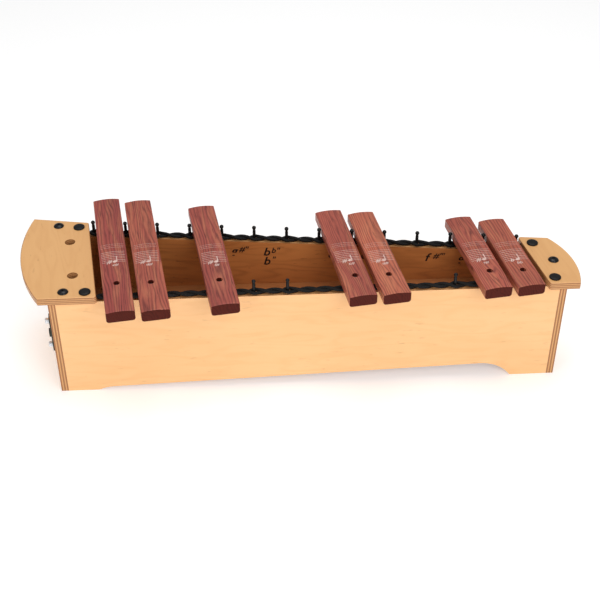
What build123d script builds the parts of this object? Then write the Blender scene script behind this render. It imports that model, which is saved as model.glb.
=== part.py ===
"""Chromatic soprano xylophone: a slanted plywood resonator box that carries lift-off rosewood bars.

Frame: +X runs along the box from the low notes to the high notes, +Y points to the player's far side,
+Z is up, and the origin is the middle of the bounding box on the floor. Bars lie along Y.
Stations are distances along X from the first rear pin.
"""

import os
from math import atan, cos, sqrt

from build123d import *

# ---------------------------------------------------------------- driving dimensions (mm)
pin_pitch = 36.5            # one rear pin on each side of every bar place
place_count = 13            # bar places between the handle plates
rear_slope = 0.268          # the rear rail comes forward by this much per mm along X
front_slope = 0.1466        # the front rail comes forward by this much per mm along X
rail_gap_at_first_pin = 128.9  # rear rail to front rail, along Y, at the first rear pin

box_height = 126.0
rail_thickness = 10.0       # front and rear panels
end_thickness = 8.0         # end panels
left_end_reach = 57.8       # first rear pin to the outer face of the left end panel
right_end_reach = 31.8      # last rear pin to the outer face of the right end panel

arch_left_foot_end = -14.8  # station where the left foot ends
arch_left_run = 16.0        # length of the ease from the left foot up to the arch line
arch_right_foot_end = 18.9  # from where the right foot begins to the last rear pin
arch_right_run = 36.0       # length of the arc from the arch line down to the right foot
arch_height_at_first_pin = 4.0
arch_rise = 0.0345          # the arch line rises by this much per mm along X

floor_thickness = 5.0
floor_drop = 74.0           # box's top edge to the top of the floor board, at the first rear pin
floor_rise = 0.08           # the floor board rises by this much per mm along X
groove_wall = 0.25          # wood left between the floor's grooves and the dowel holes
groove_clearance = 0.05

plate_thickness = 9.0
plate_edge_radius = 1.5
plate_corner_radius = 3.0
plate_rear_overhang = 12.5  # rear rail line to the plate's rear edge
plate_front_overhang = 10.0  # front rail line to the plate's front edge
left_plate_inner = -5.0     # station of the edge beside the first bar
left_plate_corner = -68.0   # station of the two outer corners
left_plate_flare = 4.0      # the left plate's rear outer corner stands this much further out
left_handle_reach = 84.7    # first rear pin to the tip of the left handle
right_plate_inner = 6.2     # these three are measured from the last rear pin
right_plate_corner = 39.5
right_handle_reach = 51.6
right_plate_front_shift = 2.6  # the right plate's front corners stand this much further out
right_plate_front_advance = 3.0  # and this much further forward
right_button_advance = 1.4

stick_hole_radius = 6.0     # two holes in the left plate hold the beaters' sticks
stick_hole_station = -28.3
stick_hole_offsets = (31.8, 99.5)  # from the rear rail line towards the front

bar_side_room = 0.5         # between a bar's side and the knobs of the rear pins
bar_thickness = 14.0
bar_crown = 1.6             # rise of the top face from its edges to its middle
bar_lower_edge_radius = 3.2  # long lower edges
bar_upper_edge_radius = 1.0  # long upper edges
bar_end_radius = 0.7        # all round both ends
bar_hole_room = 1.4         # between a bar's hole and its front pin's knob
cord_height = 6.2           # from the panels' top edge to the underside of the bars

strand_width = 3.4
strand_clearance = 0.15     # between each strand and the pins
strand_end_gap = 0.5        # between a strand's end and the handle plate
strand_edge_radius = 1.2

pin_radius = 1.2            # steel pin
sleeve_radius = 1.8         # rubber sleeve on the pin
pin_depth = 24.0            # how far a pin is driven into its panel
pin_fit = 0.05              # radial room between a pin and its hole or sleeve
rear_knob_radius = 2.4
front_knob_radius = 2.2
rear_pin_top_below_bar = 0.9  # top of the knob under the bars' top face
front_pin_top_below_bar = 1.7

screw_head_radius = 6.0
screw_head_height = 3.0
screw_shank_radius = 2.0
screw_length = 38.0
screw_fit = 0.05
left_screw_station = -39.8
left_screw_setback = 1.6    # the left screws stand this much behind the rails' middle lines
right_screw_outset = 1.0    # from the middle of the end panel towards its outer face
right_screw_advance = 1.4   # in front of the middle of the end panel

button_head_radius = 6.5
button_head_height = 2.6
button_stem_radius = 3.0
button_stem_floor = 2.0     # wood left under a button's blind hole
button_fit = 0.05
left_button_station = -16.6
right_button_station = 17.8  # from the last rear pin

dowel_radius = 2.5
dowel_in_rail = 16.0
dowel_in_end = 5.0
dowel_end_room = 0.5
dowel_fit = 0.05
dowel_rows = 3
lowest_dowel = 22.0
dowel_below_screw = 14.0    # highest dowel to the tip of the handle screws

coupling_thickness = 1.6
coupling_width = 14.0
coupling_length = 47.0
coupling_corner = 5.0
coupling_setback = 2.0      # from the box's front face to the plate's front edge
coupling_drop = 46.8        # from the box's top edge to the middle of the plate
coupling_screw_spacing = 33.0
coupling_screw_head_radius = 3.4
coupling_screw_head_height = 4.4
coupling_screw_shank_radius = 1.4
coupling_screw_depth = 6.0
coupling_loop_radius = 5.0
coupling_loop_height = 2.0

# One row per bar: name, place, length, and how far the front end stands past the pin hole.
bars = [
    ("bar_c_sharp_low", 0, 227.0, 51.2),
    ("bar_d_sharp_low", 1, 221.3, 50.9),
    ("bar_f_sharp_low", 3, 198.2, 44.8),
    ("bar_c_sharp_high", 7, 172.7, 37.7),
    ("bar_d_sharp_high", 8, 164.8, 35.8),
    ("bar_g_sharp_high", 11, 143.5, 31.8),
    ("bar_b_flat_high", 12, 133.9, 29.1),
]
note_places = (0, 1, 3, 4, 5, 7, 8, 10, 11, 12)  # every place that has a front pin
tuning_arch_share = 0.4     # the hollow under a bar, as a share of its length
tuning_arch_depth = 3.4

# ---------------------------------------------------------------- derived layout
pin_span = pin_pitch * place_count
last_pin = pin_span
left_outer = -left_end_reach
left_inner = left_outer + end_thickness
right_outer = last_pin + right_end_reach
right_inner = right_outer - end_thickness
right_foot = last_pin - arch_right_foot_end
rear_angle = atan(rear_slope)
front_angle = atan(front_slope)
rear_half = rail_thickness / 2 / cos(rear_angle)
front_half = rail_thickness / 2 / cos(front_angle)
bar_bottom = box_height + cord_height
bar_top = bar_bottom + bar_thickness
bar_width = pin_pitch - 2 * (rear_knob_radius + bar_side_room)
bar_hole_radius = front_knob_radius + bar_hole_room
strand_offset = sleeve_radius + strand_clearance + strand_width / 2
groove_depth = rail_thickness / 2 - dowel_radius - dowel_fit - groove_wall
button_stem_length = plate_thickness - button_stem_floor
coupling_height = box_height - coupling_drop
highest_dowel = box_height + plate_thickness - screw_length - dowel_below_screw
dowel_step = (highest_dowel - lowest_dowel) / (dowel_rows - 1)
dowel_heights = [lowest_dowel + row * dowel_step for row in range(dowel_rows)]
stock = 1000.0              # longer than anything that is cut


def rear_line(station):
    """Y of the rear pin line, from the first rear pin."""
    return -rear_slope * station


def front_line(station):
    """Y of the front pin line, from the first rear pin."""
    return -rail_gap_at_first_pin - front_slope * station


def place_station(place):
    """Station of the middle of a bar place."""
    return (place + 0.5) * pin_pitch


def arch_height(station):
    """Height of the cut-away under the front and rear panels."""
    return arch_height_at_first_pin + arch_rise * station


def floor_top(station):
    """Height of the top of the resonator floor."""
    return box_height - floor_drop + floor_rise * station


def bar_ends(place, length, front_reach):
    """Front and rear end of a bar along Y, from the first rear pin."""
    front_end = front_line(place_station(place)) - front_reach
    return front_end, front_end + length


def plate_edges(station, flare=0.0):
    """Front and rear edge of a handle plate along Y."""
    rear_edge = rear_line(station) + plate_rear_overhang + flare
    return front_line(station) - plate_front_overhang, rear_edge


# The first rear pin is placed so that the whole object is centred on the origin.
left_tip = -left_handle_reach
right_tip = last_pin + right_handle_reach
ends = [bar_ends(place, length, reach) for _, place, length, reach in bars]
corner_edges = [
    plate_edges(left_plate_corner, left_plate_flare),
    plate_edges(last_pin + right_plate_corner),
]
frontmost = min(pair[0] for pair in ends + corner_edges)
rearmost = max(pair[1] for pair in ends + corner_edges)
first_pin_x = -(left_tip + right_tip) / 2
first_pin_y = -(frontmost + rearmost) / 2


def at(station, y):
    """A plan point in the part's frame."""
    return (first_pin_x + station, first_pin_y + y)


rear_pin_points = [at(i * pin_pitch, rear_line(i * pin_pitch)) for i in range(place_count + 1)]
front_pin_points = [
    at(place_station(place), front_line(place_station(place))) for place in note_places
]


def save(shape, name):
    """Labels a finished piece and writes it as its own file."""
    shape.label = name
    export_step(shape, f"parts/{name}.step")


os.makedirs("parts", exist_ok=True)

# ---------------------------------------------------------------- resonator floor
# Its plan reaches into grooves in all four panels.
floor_plan = [
    at(left_inner - groove_depth, front_line(left_inner) + front_half - groove_depth),
    at(right_inner + groove_depth, front_line(right_inner) + front_half - groove_depth),
    at(right_inner + groove_depth, rear_line(right_inner) - rear_half + groove_depth),
    at(left_inner - groove_depth, rear_line(left_inner) - rear_half + groove_depth),
]


def floor_board(room):
    """The sloping floor board, grown by room on its two faces."""
    low, high = left_outer - stock, right_outer + stock
    with BuildPart(mode=Mode.PRIVATE) as board:
        with BuildSketch(Plane.XY) as plan:
            with BuildLine():
                Polyline(floor_plan, close=True)
            make_face()
            if room:
                offset(amount=room, kind=Kind.INTERSECTION)
        extrude(amount=box_height)
        with BuildSketch(Plane.XZ) as slab:
            with BuildLine():
                Polyline(
                    (first_pin_x + low, floor_top(low) + room),
                    (first_pin_x + high, floor_top(high) + room),
                    (first_pin_x + high, floor_top(high) - floor_thickness - room),
                    (first_pin_x + low, floor_top(low) - floor_thickness - room),
                    close=True,
                )
            make_face()
        extrude(amount=stock, both=True, mode=Mode.INTERSECT)
    return board.part


resonator_floor = floor_board(0)
floor_groove = floor_board(groove_clearance)
save(resonator_floor, "resonator_floor")

# ---------------------------------------------------------------- corner dowels
dowel_centre_in_rail = dowel_in_rail / 2


def dowel_points():
    """Plan points where each row of dowels crosses an end panel's inner face, with its direction."""
    rows = []
    for inner, way in ((left_inner, 1), (right_inner, -1)):
        middle = inner + way * dowel_centre_in_rail
        rows.append((at(inner, front_line(middle)), way))
        rows.append((at(inner, rear_line(middle)), way))
    return rows


def dowel_set(radius, extra):
    """All the corner dowels; extra lengthens them at both ends, for their holes."""
    with BuildPart(mode=Mode.PRIVATE) as dowels:
        for (x, y), way in dowel_points():
            for height in dowel_heights:
                start = x - way * (dowel_in_end + extra)
                face = Plane(origin=(start, y, height), z_dir=(way, 0, 0))
                with BuildSketch(face):
                    Circle(radius)
                extrude(amount=dowel_in_rail + dowel_in_end + 2 * extra)
    return dowels.part


corner_dowels = dowel_set(dowel_radius, 0)
dowel_holes = dowel_set(dowel_radius + dowel_fit, dowel_end_room)
save(corner_dowels, "corner_dowels")


# ---------------------------------------------------------------- front and rear panels
def rail_panel(line, half, pin_points, screw_points):
    """A long panel between the end panels, cut away below, drilled for its pins and screws."""
    with BuildPart() as panel:
        with BuildSketch(Plane.XZ) as side:
            with BuildLine():
                left_top = arch_left_foot_end + arch_left_run
                right_top = right_foot - arch_right_run
                Polyline(
                    (first_pin_x + arch_left_foot_end, 0),
                    (first_pin_x + left_inner, 0),
                    (first_pin_x + left_inner, box_height),
                    (first_pin_x + right_inner, box_height),
                    (first_pin_x + right_inner, 0),
                    (first_pin_x + right_foot, 0),
                )
                top_run = Line(
                    (first_pin_x + left_top, arch_height(left_top)),
                    (first_pin_x + right_top, arch_height(right_top)),
                )
                TangentArc(top_run @ 1, (first_pin_x + right_foot, 0), tangent=top_run % 1)
                TangentArc(
                    top_run @ 0,
                    (first_pin_x + arch_left_foot_end, 0),
                    tangent=-(top_run % 0),
                )
            make_face()
        extrude(amount=stock, both=True)
        with BuildSketch(Plane.XY) as plan:
            with BuildLine():
                Polyline(
                    at(left_inner, line(left_inner) - half),
                    at(right_inner, line(right_inner) - half),
                    at(right_inner, line(right_inner) + half),
                    at(left_inner, line(left_inner) + half),
                    close=True,
                )
            make_face()
        extrude(amount=box_height, mode=Mode.INTERSECT)
        with Locations(*[(x, y, box_height) for x, y in pin_points]):
            Hole(radius=pin_radius + pin_fit, depth=pin_depth)
        with Locations(*[(x, y, box_height) for x, y in screw_points]):
            Hole(radius=screw_shank_radius + screw_fit, depth=screw_length - plate_thickness)
        add(floor_groove, mode=Mode.SUBTRACT)
        add(dowel_holes, mode=Mode.SUBTRACT)
    return panel.part


left_screw_points = [
    at(left_screw_station, line(left_screw_station) + left_screw_setback)
    for line in (front_line, rear_line)
]
save(
    rail_panel(front_line, front_half, front_pin_points, left_screw_points[:1]), "front_panel"
)
save(rail_panel(rear_line, rear_half, rear_pin_points, left_screw_points[1:]), "rear_panel")

# ---------------------------------------------------------------- end panels
right_screw_station = right_outer - end_thickness / 2 + right_screw_outset
right_screw_middle = (front_line(right_screw_station) + rear_line(right_screw_station)) / 2
right_screw_y = right_screw_middle - right_screw_advance
right_screw_point = at(right_screw_station, right_screw_y)

# The coupling plate lies on the left end panel, near its front edge.
coupling_y = front_line(left_outer) - front_half + coupling_setback + coupling_width / 2
coupling_x, coupling_plan_y = at(left_outer, coupling_y)
coupling_screw_heights = [
    coupling_height + side * coupling_screw_spacing / 2 for side in (-1, 1)
]


def end_panel(outer, inner, side_screw_heights=(), top_screw_points=()):
    """An end panel whose slanted edges finish flush with the long panels' faces."""
    with BuildPart() as panel:
        with BuildSketch(Plane.XY) as plan:
            with BuildLine():
                Polyline(
                    at(outer, front_line(outer) - front_half),
                    at(inner, front_line(inner) - front_half),
                    at(inner, rear_line(inner) + rear_half),
                    at(outer, rear_line(outer) + rear_half),
                    close=True,
                )
            make_face()
        extrude(amount=box_height)
        add(floor_groove, mode=Mode.SUBTRACT)
        add(dowel_holes, mode=Mode.SUBTRACT)
        for screw_height in side_screw_heights:
            origin = (first_pin_x + outer, coupling_plan_y, screw_height)
            with BuildSketch(Plane(origin=origin, z_dir=(1, 0, 0))):
                Circle(coupling_screw_shank_radius + screw_fit)
            extrude(amount=coupling_screw_depth, mode=Mode.SUBTRACT)
        for x, y in top_screw_points:
            with BuildSketch(Plane.XY.offset(box_height)):
                with Locations((x, y)):
                    Circle(screw_shank_radius + screw_fit)
            extrude(amount=plate_thickness - screw_length, mode=Mode.SUBTRACT)
    return panel.part


save(
    end_panel(left_outer, left_inner, side_screw_heights=coupling_screw_heights),
    "left_end_panel",
)
save(
    end_panel(right_outer, right_inner, top_screw_points=[right_screw_point]), "right_end_panel"
)


# ---------------------------------------------------------------- handle plates
def handle_plate(
    inner,
    corner,
    tip,
    screw_points,
    button_points,
    stick_hole_points=(),
    flare=0.0,
    front_shift=0.0,
    front_advance=0.0,
):
    """A grip plate on top of the box, with a bowed outer end."""
    front_in, rear_in = plate_edges(inner)
    front_out, rear_out = plate_edges(corner, flare)
    front_in -= front_advance
    front_out -= front_advance
    with BuildPart() as plate:
        with BuildSketch(Plane.XY.offset(box_height)) as plan:
            with BuildLine():
                Polyline(
                    at(corner + front_shift, front_out),
                    at(inner + front_shift, front_in),
                    at(inner, rear_in),
                    at(corner, rear_out),
                )
                ThreePointArc(
                    at(corner, rear_out),
                    at(tip, (front_out + rear_out) / 2),
                    at(corner + front_shift, front_out),
                )
            make_face()
            by_station = plan.vertices().sort_by(Axis.X)
            inner_corners = by_station[-2:] if inner > corner else by_station[:2]
            fillet(inner_corners, radius=plate_corner_radius)
        extrude(amount=plate_thickness)
        rims = plate.faces().filter_by(Plane.XY).edges()
        fillet(rims, radius=plate_edge_radius)
        top = box_height + plate_thickness
        with Locations(*[(x, y, top) for x, y in screw_points]):
            Hole(radius=screw_shank_radius + screw_fit, depth=plate_thickness)
        with Locations(*[(x, y, top) for x, y in button_points]):
            Hole(radius=button_stem_radius + button_fit, depth=button_stem_length)
        for x, y in stick_hole_points:
            with Locations((x, y, top)):
                Hole(radius=stick_hole_radius, depth=plate_thickness)
    return plate.part


left_button_points = [
    at(left_button_station, line(left_button_station)) for line in (front_line, rear_line)
]
right_button_at = last_pin + right_button_station
right_button_points = [
    at(right_button_at, line(right_button_at) - right_button_advance)
    for line in (front_line, rear_line)
]
save(
    handle_plate(
        left_plate_inner,
        left_plate_corner,
        left_tip,
        left_screw_points,
        left_button_points,
        [
            at(stick_hole_station, rear_line(stick_hole_station) - reach)
            for reach in stick_hole_offsets
        ],
        left_plate_flare,
    ),
    "left_handle_plate",
)
save(
    handle_plate(
        last_pin + right_plate_inner,
        last_pin + right_plate_corner,
        right_tip,
        [right_screw_point],
        right_button_points,
        front_shift=right_plate_front_shift,
        front_advance=right_plate_front_advance,
    ),
    "right_handle_plate",
)


# ---------------------------------------------------------------- handle screws
def handle_screws(points):
    """Domed screws with a cross recess, driven down through a handle plate."""
    seat = box_height + plate_thickness
    recess_depth = screw_head_height * 0.6
    recess_length = screw_head_radius * 0.95
    recess_width = 1.3
    with BuildPart() as screws:
        for x, y in points:
            with BuildSketch(Plane(origin=(x, y, 0), x_dir=(1, 0, 0), z_dir=(0, -1, 0))):
                with BuildLine():
                    ThreePointArc(
                        (0, seat + screw_head_height),
                        (screw_head_radius * 0.62, seat + screw_head_height * 0.8),
                        (screw_head_radius, seat),
                    )
                    Polyline(
                        (screw_head_radius, seat),
                        (screw_shank_radius, seat),
                        (screw_shank_radius, seat - screw_length + 2 * screw_shank_radius),
                        (0, seat - screw_length),
                        (0, seat + screw_head_height),
                    )
                make_face()
            revolve(axis=Axis((x, y, 0), (0, 0, 1)))
        for x, y in points:
            with BuildSketch(Plane.XY.offset(seat + screw_head_height)):
                with Locations((x, y)):
                    Rectangle(recess_length, recess_width)
                    Rectangle(recess_width, recess_length)
            extrude(amount=-recess_depth, mode=Mode.SUBTRACT)
    return screws.part


save(handle_screws(left_screw_points), "left_handle_screws")
save(handle_screws([right_screw_point]), "right_handle_screw")


# ---------------------------------------------------------------- rubber buttons
def rubber_buttons(points):
    """Round buttons with a stem, pushed into blind holes in a handle plate."""
    seat = box_height + plate_thickness
    rim = 1.0
    with BuildPart() as buttons:
        for x, y in points:
            with BuildSketch(Plane.XY.offset(seat)):
                with Locations((x, y)):
                    Circle(button_head_radius)
            extrude(amount=button_head_height)
        fillet(buttons.faces().sort_by(Axis.Z)[-len(points):].edges(), radius=rim)
        for x, y in points:
            with BuildSketch(Plane.XY.offset(seat)):
                with Locations((x, y)):
                    Circle(button_stem_radius)
            extrude(amount=-button_stem_length)
    return buttons.part


save(rubber_buttons(left_button_points), "left_handle_buttons")
save(rubber_buttons(right_button_points), "right_handle_buttons")


# ---------------------------------------------------------------- pins and their sleeves
def pin_core_top(top, knob_radius):
    """Height of the steel pin's end, inside the knob of its sleeve."""
    return top - knob_radius


def steel_pins(points, top, knob_radius):
    """Straight steel pins, driven into a panel's top edge."""
    bottom = box_height - pin_depth
    with BuildPart() as pins:
        with BuildSketch(Plane.XY.offset(bottom)):
            with Locations(*points):
                Circle(pin_radius)
        extrude(amount=pin_core_top(top, knob_radius) - bottom)
    return pins.part


def pin_sleeves(points, top, knob_radius):
    """Rubber sleeves with a round knob at the top, one over each pin."""
    knob_centre = top - knob_radius
    neck = sqrt(knob_radius**2 - sleeve_radius**2)
    bore = pin_radius + pin_fit
    bore_top = pin_core_top(top, knob_radius) + pin_fit
    with BuildPart() as sleeves:
        for x, y in points:
            with BuildSketch(Plane(origin=(x, y, 0), x_dir=(1, 0, 0), z_dir=(0, -1, 0))):
                with BuildLine():
                    Polyline(
                        (0, top),
                        (0, bore_top),
                        (bore, bore_top),
                        (bore, box_height),
                        (sleeve_radius, box_height),
                        (sleeve_radius, knob_centre - neck),
                    )
                    ThreePointArc(
                        (sleeve_radius, knob_centre - neck), (knob_radius, knob_centre), (0, top)
                    )
                make_face()
            revolve(axis=Axis((x, y, 0), (0, 0, 1)))
    return sleeves.part


rear_pin_top = bar_top - rear_pin_top_below_bar
front_pin_top = bar_top - front_pin_top_below_bar
for row_name, row_points, row_top, row_knob in (
    ("rear", rear_pin_points, rear_pin_top, rear_knob_radius),
    ("front", front_pin_points, front_pin_top, front_knob_radius),
):
    save(steel_pins(row_points, row_top, row_knob), f"{row_name}_pins")
    save(pin_sleeves(row_points, row_top, row_knob), f"{row_name}_pin_sleeves")


# ---------------------------------------------------------------- support cords
def cord_strand(line, angle, side):
    """One strand of a support cord, lying on its rail on one side of the pins."""
    start = left_plate_inner + strand_end_gap
    stop = last_pin + right_plate_inner - strand_end_gap
    shift = side * strand_offset / cos(angle)
    half = strand_width / 2 / cos(angle)
    with BuildPart() as strand:
        with BuildSketch(Plane.XY.offset(box_height)):
            with BuildLine():
                Polyline(
                    at(start, line(start) + shift - half),
                    at(stop, line(stop) + shift - half),
                    at(stop, line(stop) + shift + half),
                    at(start, line(start) + shift + half),
                    close=True,
                )
            make_face()
        extrude(amount=cord_height)
        long_edges = strand.edges().filter_by(lambda edge: edge.length > pin_span)
        fillet(long_edges, radius=strand_edge_radius)
    return strand.part


for cord_name, cord_line, cord_angle in (
    ("rear_cord", rear_line, rear_angle),
    ("front_cord", front_line, front_angle),
):
    for strand_name, strand_side in (("near_strand", -1), ("far_strand", 1)):
        save(cord_strand(cord_line, cord_angle, strand_side), f"{cord_name}_{strand_name}")

# ---------------------------------------------------------------- coupling plate
with BuildPart() as coupling_plate:
    outer_face = Plane(
        origin=(coupling_x, coupling_plan_y, coupling_height), x_dir=(0, 1, 0), z_dir=(-1, 0, 0)
    )
    with BuildSketch(outer_face):
        RectangleRounded(coupling_width, coupling_length, coupling_corner)
        with GridLocations(0, coupling_screw_spacing, 1, 2):
            Circle(coupling_screw_shank_radius + screw_fit, mode=Mode.SUBTRACT)
    extrude(amount=coupling_thickness)
    with BuildSketch(outer_face.offset(coupling_thickness)):
        Circle(coupling_loop_radius)
        Circle(coupling_loop_radius / 2, mode=Mode.SUBTRACT)
    extrude(amount=coupling_loop_height)
save(coupling_plate.part, "coupling_plate")

with BuildPart() as coupling_screws:
    head_seat = coupling_x - coupling_thickness
    for screw_height in coupling_screw_heights:
        origin = (head_seat, coupling_plan_y, screw_height)
        with BuildSketch(Plane(origin=origin, x_dir=(0, 1, 0), z_dir=(-1, 0, 0))):
            Circle(coupling_screw_head_radius)
        extrude(amount=coupling_screw_head_height)
        with BuildSketch(Plane(origin=origin, x_dir=(0, 1, 0), z_dir=(1, 0, 0))):
            Circle(coupling_screw_shank_radius)
        extrude(amount=coupling_screw_depth + coupling_thickness - dowel_end_room)
    head_rims = coupling_screws.faces().sort_by(Axis.X)[:2].edges()
    fillet(head_rims, radius=1.2)
save(coupling_screws.part, "coupling_screws")


# ---------------------------------------------------------------- bars
def sound_bar(place, length, front_reach):
    """A wooden bar: crowned on top, hollowed underneath, with one hole over its front pin."""
    front_end, rear_end = bar_ends(place, length, front_reach)
    x, y_front = at(place_station(place), front_end)
    hole_y = y_front + front_reach
    half = bar_width / 2
    shoulder = bar_top - bar_crown
    with BuildPart() as bar:
        with BuildSketch(Plane.XZ.offset(-y_front)) as profile:
            with BuildLine():
                ThreePointArc((x - half, shoulder), (x, bar_top), (x + half, shoulder))
                Polyline(
                    (x + half, shoulder),
                    (x + half, bar_bottom),
                    (x - half, bar_bottom),
                    (x - half, shoulder),
                )
            make_face()
            fillet(profile.vertices().group_by(Axis.Y)[0], radius=bar_lower_edge_radius)
            fillet(profile.vertices().group_by(Axis.Y)[-1], radius=bar_upper_edge_radius)
        extrude(amount=-length)
        end_faces = bar.faces().filter_by(Axis.Y)
        fillet(end_faces.edges(), radius=bar_end_radius)
        middle = y_front + length / 2
        reach = length * tuning_arch_share / 2
        with BuildSketch(Plane.YZ.offset(x)):
            with BuildLine():
                ThreePointArc(
                    (middle - reach, bar_bottom),
                    (middle, bar_bottom + tuning_arch_depth),
                    (middle + reach, bar_bottom),
                )
                Line((middle + reach, bar_bottom), (middle - reach, bar_bottom))
            make_face()
        extrude(amount=bar_width, both=True, mode=Mode.SUBTRACT)
        with Locations((x, hole_y, bar_top)):
            Hole(radius=bar_hole_radius, depth=bar_thickness)
    return bar.part


for bar_name, bar_place, bar_length, bar_reach in bars:
    save(sound_bar(bar_place, bar_length, bar_reach), bar_name)
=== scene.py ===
"""Chromatic soprano xylophone: finishes, cords, rubber fittings and printing, built round the CAD frame.

Everything is in metres in the frame's own axes: +X runs from the low notes to the high notes, +Y points
away from the player and +Z is up. Places come from the frame's nodes; sizes are fields of each class.
"""

from __future__ import annotations

import logging
import math
from dataclasses import dataclass, field
from enum import Enum
from functools import cached_property, lru_cache
from typing import Sequence

import bpy
from mathutils import Matrix, Vector


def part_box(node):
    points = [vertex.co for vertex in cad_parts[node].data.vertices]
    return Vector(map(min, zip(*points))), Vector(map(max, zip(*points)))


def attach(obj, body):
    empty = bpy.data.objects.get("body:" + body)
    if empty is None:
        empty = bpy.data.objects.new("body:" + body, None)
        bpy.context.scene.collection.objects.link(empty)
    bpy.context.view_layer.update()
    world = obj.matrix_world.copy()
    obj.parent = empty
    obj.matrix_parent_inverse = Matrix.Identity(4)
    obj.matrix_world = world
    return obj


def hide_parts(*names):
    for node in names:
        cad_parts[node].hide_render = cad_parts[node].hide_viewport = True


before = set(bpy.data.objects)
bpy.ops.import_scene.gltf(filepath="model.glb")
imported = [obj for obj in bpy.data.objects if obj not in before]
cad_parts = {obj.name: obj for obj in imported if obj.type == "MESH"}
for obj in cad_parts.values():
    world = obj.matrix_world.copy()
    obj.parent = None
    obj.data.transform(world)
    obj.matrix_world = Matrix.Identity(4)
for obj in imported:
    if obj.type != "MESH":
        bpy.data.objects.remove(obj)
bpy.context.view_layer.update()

LOG = logging.getLogger("xylophone")
BOX_BODY = "resonator_box"
MM = 0.001

Colour = tuple[float, float, float, float]
Axis = tuple[float, float, float]


def tint(red: int, green: int, blue: int) -> Colour:
    """Turns a display colour from 0 to 255 into the linear colour that a shader takes.

    Args:
        red: red, as a screen shows it.
        green: green, as a screen shows it.
        blue: blue, as a screen shows it.

    Returns:
        The linear colour with full opacity.
    """
    shares = (value / 255 for value in (red, green, blue))
    linear = (s / 12.92 if s <= 0.04045 else ((s + 0.055) / 1.055) ** 2.4 for s in shares)
    return (*linear, 1.0)


def blend_colours(first: Colour, second: Colour, share: float) -> Colour:
    """A colour between two others."""
    return tuple(a + (b - a) * share for a, b in zip(first, second))


@lru_cache(maxsize=None)
def node_box(node: str) -> tuple[Vector, Vector]:
    """The lowest and the highest corner of a CAD node, measured once."""
    low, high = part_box(node)
    return low.freeze(), high.freeze()


# ------------------------------------------------------------------------------------------ modelling


def select_only(*objects: bpy.types.Object) -> None:
    """Makes these objects the whole selection, the first of them active."""
    bpy.ops.object.select_all(action="DESELECT")
    for item in objects:
        item.select_set(True)
    bpy.context.view_layer.objects.active = objects[0] if objects else None


def name_piece(item: bpy.types.Object, name: str) -> bpy.types.Object:
    """Gives an object and its mesh one name."""
    item.name = name
    item.data.name = name
    return item


def settle(item: bpy.types.Object) -> bpy.types.Object:
    """Moves an object's place, turn and scale into its mesh."""
    item.data.transform(item.matrix_basis)
    item.matrix_basis = Matrix.Identity(4)
    return item


def apply_modifier(item: bpy.types.Object, kind: str, **settings: object) -> None:
    """Adds a modifier, sets it and applies it at once."""
    select_only(item)
    modifier = item.modifiers.new(kind.lower(), kind)
    for key, value in settings.items():
        setattr(modifier, key, value)
    bpy.ops.object.modifier_apply(modifier=modifier.name)


def tidy_normals(item: bpy.types.Object) -> None:
    """Merges doubled points and turns every face outwards."""
    select_only(item)
    bpy.ops.object.mode_set(mode="EDIT")
    bpy.ops.mesh.select_all(action="SELECT")
    bpy.ops.mesh.remove_doubles(threshold=1e-6)
    bpy.ops.mesh.normals_make_consistent(inside=False)
    bpy.ops.object.mode_set(mode="OBJECT")


def smooth(item: bpy.types.Object, degrees: float = 40.0) -> None:
    """Shades an object smooth except across edges sharper than an angle."""
    select_only(item)
    bpy.ops.object.shade_smooth_by_angle(angle=math.radians(degrees))


def join(name: str, items: Sequence[bpy.types.Object]) -> bpy.types.Object:
    """Joins objects into one piece with a new name."""
    select_only(*items)
    if len(items) > 1:
        bpy.ops.object.join()
    return name_piece(bpy.context.view_layer.objects.active, name)


def copies(source: bpy.types.Object, places: Sequence[Matrix]) -> list[bpy.types.Object]:
    """Copies a finished shape to several places, each copy with its own mesh.

    Args:
        source: the shape, modelled at the origin. It is removed afterwards.
        places: where each copy goes.

    Returns:
        The copies, with their places in their meshes.
    """
    made = []
    for place in places:
        twin = source.copy()
        twin.data = source.data.copy()
        twin.data.transform(place)
        bpy.context.scene.collection.objects.link(twin)
        made.append(twin)
    bpy.data.objects.remove(source)
    return made


def upright(points: Sequence[Vector]) -> list[Matrix]:
    """Places without any turn, one at each point."""
    return [Matrix.Translation(point) for point in points]


@dataclass(frozen=True)
class Turning:
    """A turned shape, closed at both ends.

    Attributes:
        rings: radius and height of each ring, from the bottom up.
        sides: how many sides each ring has.
    """

    rings: Sequence[tuple[float, float]]
    sides: int = 24

    def build(self, name: str) -> bpy.types.Object:
        """Extrudes the shape ring by ring from its lowest disc.

        Args:
            name: the new object's name.

        Returns:
            The turned shape, standing on the Z axis.
        """
        radius, height = self.rings[0]
        select_only()
        bpy.ops.mesh.primitive_circle_add(
            vertices=self.sides, radius=radius, fill_type="NGON", location=(0, 0, height)
        )
        item = settle(bpy.context.object)
        bpy.ops.object.mode_set(mode="EDIT")
        bpy.ops.mesh.select_all(action="SELECT")
        for (before, low), (after, high) in zip(self.rings, self.rings[1:]):
            rise = {"value": (0, 0, high - low)}
            bpy.ops.mesh.extrude_region_move(TRANSFORM_OT_translate=rise)
            share = after / before
            bpy.ops.transform.resize(value=(share, share, 1), center_override=(0, 0, high))
        bpy.ops.object.mode_set(mode="OBJECT")
        tidy_normals(item)
        smooth(item)
        return name_piece(item, name)


# ------------------------------------------------------------------------------------------ layout


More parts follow.
